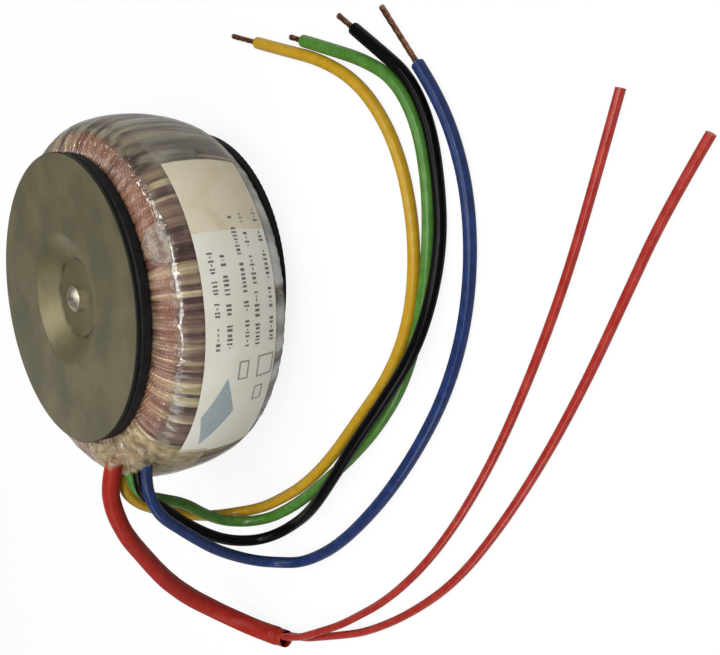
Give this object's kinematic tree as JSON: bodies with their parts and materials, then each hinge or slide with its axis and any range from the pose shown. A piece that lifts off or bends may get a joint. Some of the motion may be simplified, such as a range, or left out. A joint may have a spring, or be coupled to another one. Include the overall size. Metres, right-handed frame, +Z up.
{
  "type": "toroidal transformer",
  "caption": "Toroidal mains transformer with two dished clamping discs, rubber pads, a centre screw and colour-coded flying leads.",
  "frame": {"origin": "the point where the toroid's axis meets the surface it stands on", "axes": "+Z up along the toroid's axis, -Y out of the rating label, the leads leave the winding on the -X side"},
  "size_m": [0.1973, 0.243, 0.0548],
  "materials": {
    "grain_oriented_steel": "slit strip edges",
    "polyester_tape": "satin",
    "enamelled_copper": "enamel over drawn copper",
    "clear_film": "clear, glossy, seen over copper",
    "label_stock": "satin",
    "neoprene": "matt",
    "yellow_passivated_steel": "dull passivated",
    "bright_zinc_steel": "bright zinc",
    "yellow_pvc": "satin",
    "green_pvc": "satin",
    "black_pvc": "satin",
    "blue_pvc": "satin",
    "red_sleeve": "satin",
    "red_wire": "satin",
    "tinned_copper": "bare strands"
  },
  "bodies": {
    "root": {"core": "grain_oriented_steel", "core_insulation": "polyester_tape", "primary_winding": "enamelled_copper", "winding_insulation": "polyester_tape", "secondary_winding": "enamelled_copper", "outer_film": "clear_film", "rating_label": "label_stock", "label_cover_film": "clear_film", "lead_anchor_tape": "clear_film", "upper_pad": "neoprene", "lower_pad": "neoprene", "upper_disc": "yellow_passivated_steel", "lower_disc": "yellow_passivated_steel", "centre_screw": "bright_zinc_steel", "plain_washer": "bright_zinc_steel", "hex_nut": "bright_zinc_steel", "yellow_lead": "yellow_pvc", "yellow_lead_strands": "tinned_copper", "green_lead": "green_pvc", "green_lead_strands": "tinned_copper", "black_lead": "black_pvc", "black_lead_strands": "tinned_copper", "blue_lead": "blue_pvc", "blue_lead_strands": "tinned_copper", "primary_sleeve": "red_sleeve", "primary_lead_a": "red_wire", "primary_lead_b": "red_wire"}
  },
  "joints": []
}
